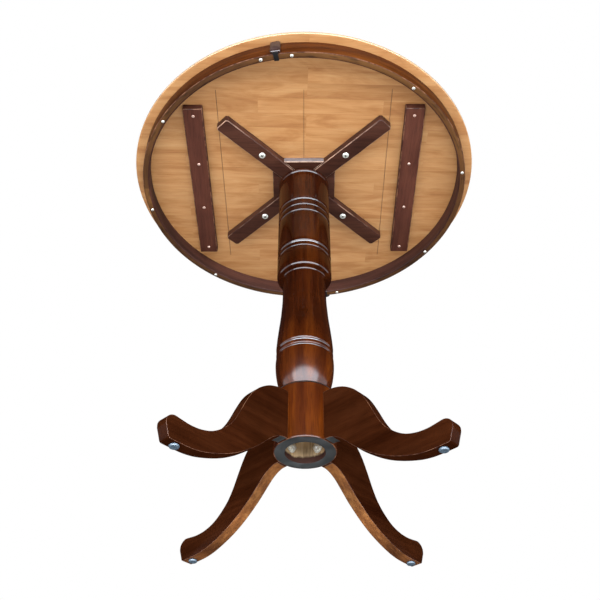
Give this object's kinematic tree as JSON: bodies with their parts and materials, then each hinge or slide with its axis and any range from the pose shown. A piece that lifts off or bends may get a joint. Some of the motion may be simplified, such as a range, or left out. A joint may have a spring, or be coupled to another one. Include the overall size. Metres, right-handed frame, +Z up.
{
  "type": "pedestal table",
  "caption": "Bar-height round wooden table: ring apron and bolted cross under the top, turned column with grooved extensions, sabre legs on plastic glides.",
  "frame": {"origin": "on the floor under the column axis, at the glides' bottom faces", "axes": "+Z up the column; -Y is the side with the front pair of legs; legs stand on the diagonals of X and Y"},
  "size_m": [0.914, 0.914, 1.017],
  "materials": {
    "top_wood": "satin golden brown",
    "apron_wood": "satin reddish brown",
    "block_wood": "satin near-black stain",
    "batten_wood": "matte dark reddish brown",
    "cross_wood": "satin dark brown",
    "column_wood": "gloss mahogany",
    "leg_wood": "gloss mahogany",
    "black_metal": "semi-gloss black",
    "zinc_steel": "zinc plated",
    "screw_brass": "dull, slightly pink",
    "glide_plastic": "smooth blue-grey"
  },
  "bodies": {
    "root": {"apron_left": "apron_wood", "apron_right": "apron_wood", "apron_screw_01": "zinc_steel", "apron_screw_02": "zinc_steel", "apron_screw_03": "zinc_steel", "apron_screw_04": "zinc_steel", "apron_screw_05": "zinc_steel", "apron_screw_06": "zinc_steel", "apron_screw_07": "zinc_steel", "apron_screw_08": "zinc_steel", "apron_screw_09": "zinc_steel", "apron_screw_10": "zinc_steel", "batten_left": "batten_wood", "batten_right": "batten_wood", "batten_screw_1": "screw_brass", "batten_screw_2": "screw_brass", "batten_screw_3": "screw_brass", "batten_screw_4": "screw_brass", "batten_screw_5": "screw_brass", "batten_screw_6": "screw_brass", "batten_screw_7": "screw_brass", "batten_screw_8": "screw_brass", "cross_bar_a": "cross_wood", "cross_bar_b": "cross_wood", "cross_bolt_1": "zinc_steel", "cross_bolt_2": "zinc_steel", "cross_bolt_3": "zinc_steel", "cross_bolt_4": "zinc_steel", "cross_filler_back": "cross_wood", "cross_filler_front": "cross_wood", "cross_filler_left": "cross_wood", "cross_filler_right": "cross_wood", "extension_lower": "column_wood", "extension_upper": "column_wood", "glide_back_left": "glide_plastic", "glide_back_right": "glide_plastic", "glide_front_left": "glide_plastic", "glide_front_right": "glide_plastic", "leg_back_left": "leg_wood", "leg_back_right": "leg_wood", "leg_bolt_back_left": "zinc_steel", "leg_bolt_back_right": "zinc_steel", "leg_bolt_front_left": "zinc_steel", "leg_bolt_front_right": "zinc_steel", "leg_front_left": "leg_wood", "leg_front_right": "leg_wood", "leg_nut_back_left": "zinc_steel", "leg_nut_back_right": "zinc_steel", "leg_nut_front_left": "zinc_steel", "leg_nut_front_right": "zinc_steel", "pedestal_column": "column_wood", "seam_block_back": "block_wood", "seam_block_front": "block_wood", "seam_clip_back": "black_metal", "seam_clip_front": "black_metal", "tabletop": "top_wood", "tie_rod": "zinc_steel", "tie_rod_nut": "zinc_steel"}
  },
  "joints": []
}
